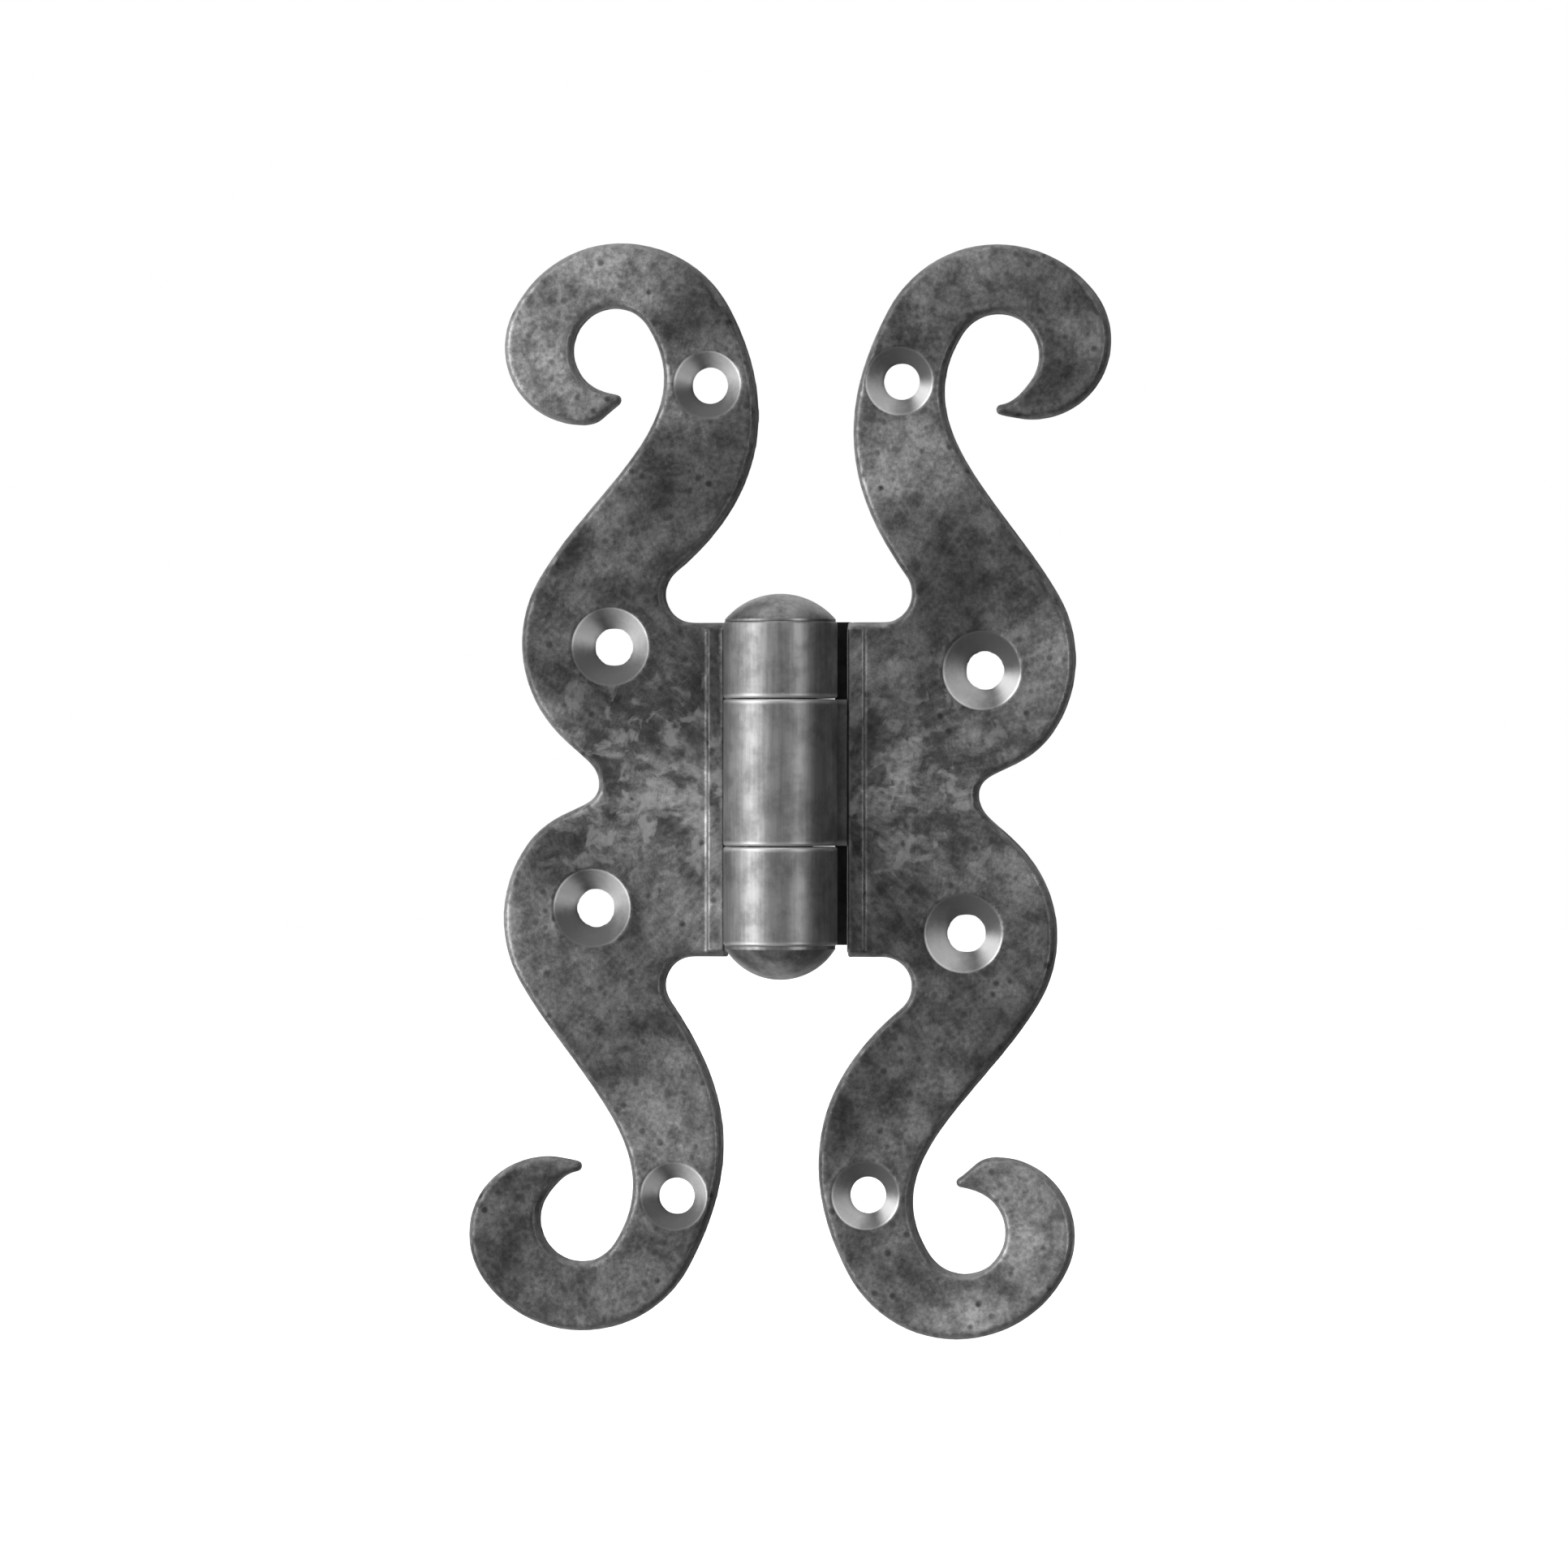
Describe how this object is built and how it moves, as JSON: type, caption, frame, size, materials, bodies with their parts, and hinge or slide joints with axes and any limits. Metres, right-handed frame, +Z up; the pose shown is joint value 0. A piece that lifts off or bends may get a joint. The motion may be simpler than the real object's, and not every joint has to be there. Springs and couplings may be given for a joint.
{
  "type": "surface-mounted scroll hinge",
  "caption": "Surface-mounted hinge with S-shaped scroll arms on both leaves, countersunk screw holes and rolled knuckles on a riveted pin.",
  "frame": {"origin": "on the pin's axis, at the middle of the hinge's height, width and depth", "axes": "+Z up along the pin's axis, +X from the frame leaf to the door leaf, +Y into the surface that the leaves are screwed to, so the front faces -Y"},
  "size_m": [0.0802, 0.014, 0.1352],
  "materials": {
    "leaf_steel": "dark antiqued steel with a mottled patina, rubbed bright on its edges",
    "pin_steel": "dark burnished steel"
  },
  "bodies": {
    "frame_side": {"frame_leaf": "leaf_steel", "hinge_pin": "pin_steel"},
    "door_side": {"door_leaf": "leaf_steel"}
  },
  "joints": [
    {"name": "leaf_swing", "type": "hinge", "parent": "frame_side", "child": "door_side", "pos_m": [0, 0, 0], "axis": [0, 0, -1], "range_deg": [-75, 180]}
  ]
}
